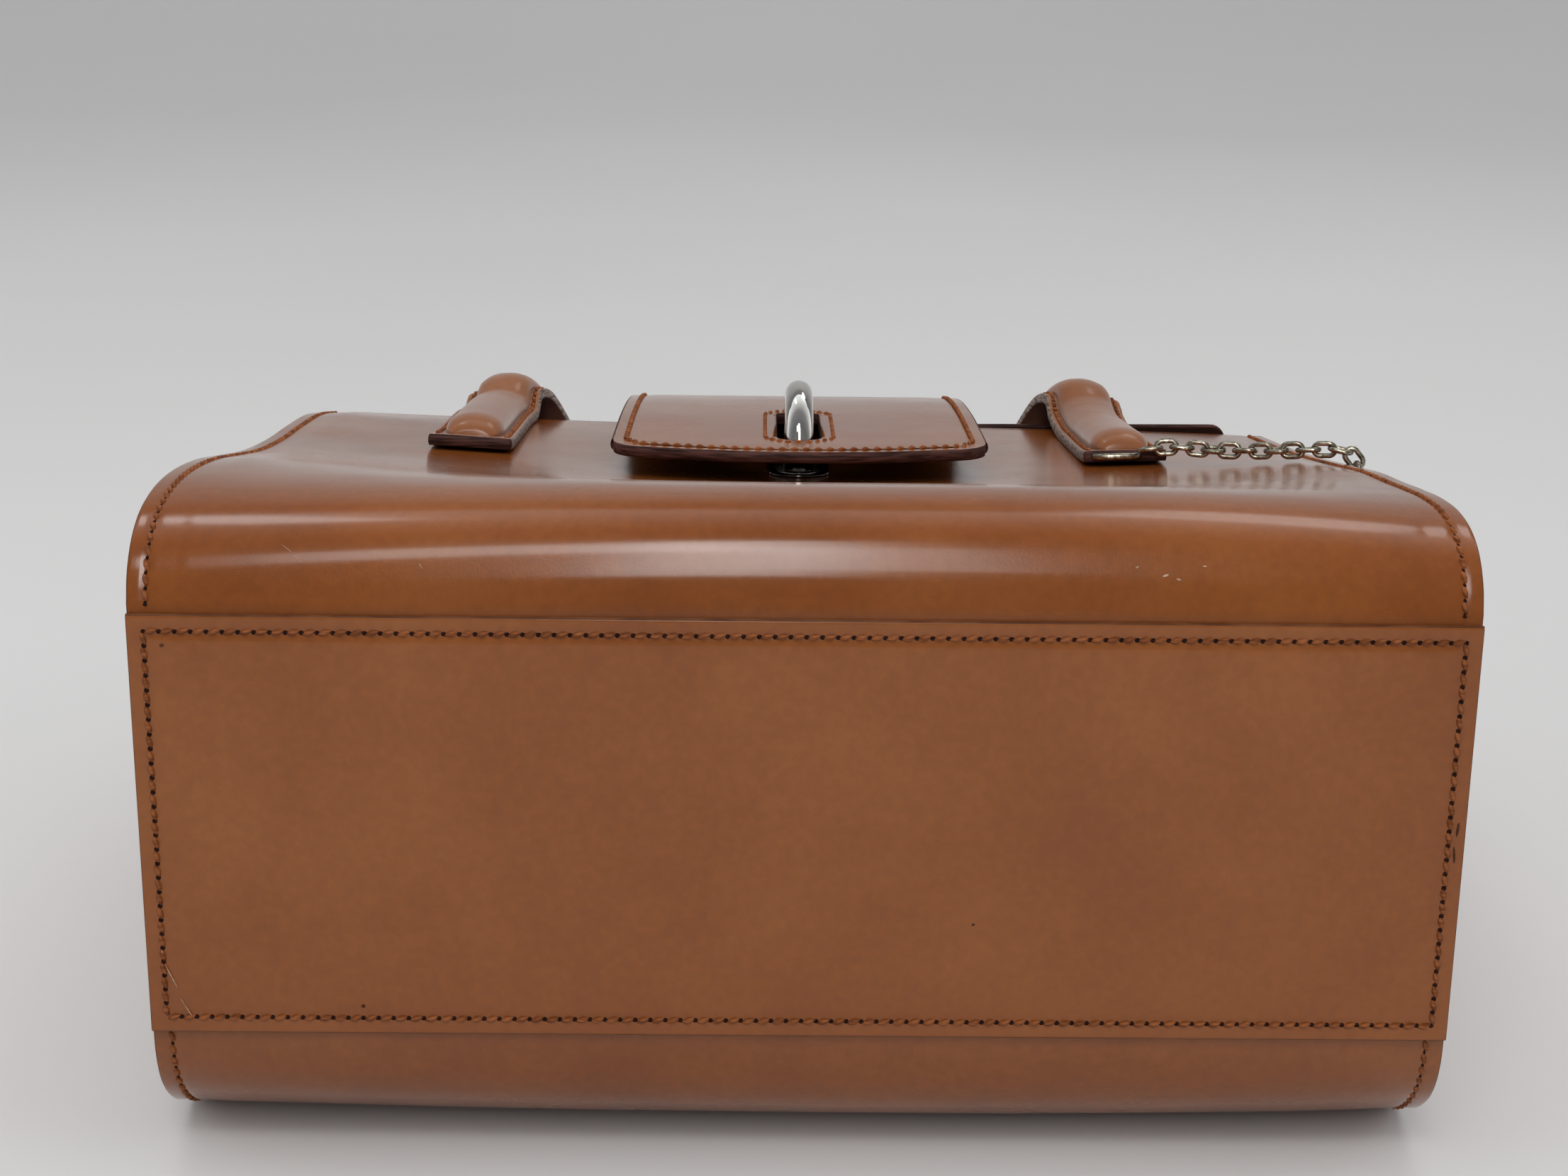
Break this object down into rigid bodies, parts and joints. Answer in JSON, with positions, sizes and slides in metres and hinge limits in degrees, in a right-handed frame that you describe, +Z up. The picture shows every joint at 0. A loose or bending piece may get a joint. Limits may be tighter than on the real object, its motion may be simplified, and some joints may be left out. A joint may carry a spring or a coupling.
{
  "type": "handbag",
  "caption": "Structured leather handbag lying on its back, with a flap tab over a staple closure, an arched rolled handle and a short loose chain at one side.",
  "frame": {"origin": "middle of the back panel's flat face, which the bag lies on", "axes": "+X across the bag to its right as seen from the base, +Y from the base to the mouth, +Z up through the front panel"},
  "size_m": [0.3169, 0.283, 0.1633],
  "materials": {
    "tan_leather": "polished, glossy, lightly mottled, with dark painted edges",
    "chrome_metal": "mirror polished",
    "chain_metal": "aged, slightly dull, with yellowish glints"
  },
  "bodies": {
    "root": {"body_wrap": "tan_leather", "base_panel": "tan_leather", "gusset_left": "tan_leather", "gusset_right": "tan_leather", "flap": "tan_leather", "handle_strap": "tan_leather", "handle_roll": "tan_leather", "closure_plate": "chrome_metal", "closure_staple": "chrome_metal", "chain_ring": "chain_metal", "chain_link_01": "chain_metal", "chain_link_02": "chain_metal", "chain_link_03": "chain_metal", "chain_link_04": "chain_metal", "chain_link_05": "chain_metal", "chain_link_06": "chain_metal", "chain_link_07": "chain_metal", "chain_link_08": "chain_metal", "chain_link_09": "chain_metal", "chain_link_10": "chain_metal", "chain_link_11": "chain_metal", "chain_link_12": "chain_metal", "chain_link_13": "chain_metal", "chain_link_14": "chain_metal", "chain_link_15": "chain_metal", "chain_link_16": "chain_metal"}
  },
  "joints": []
}
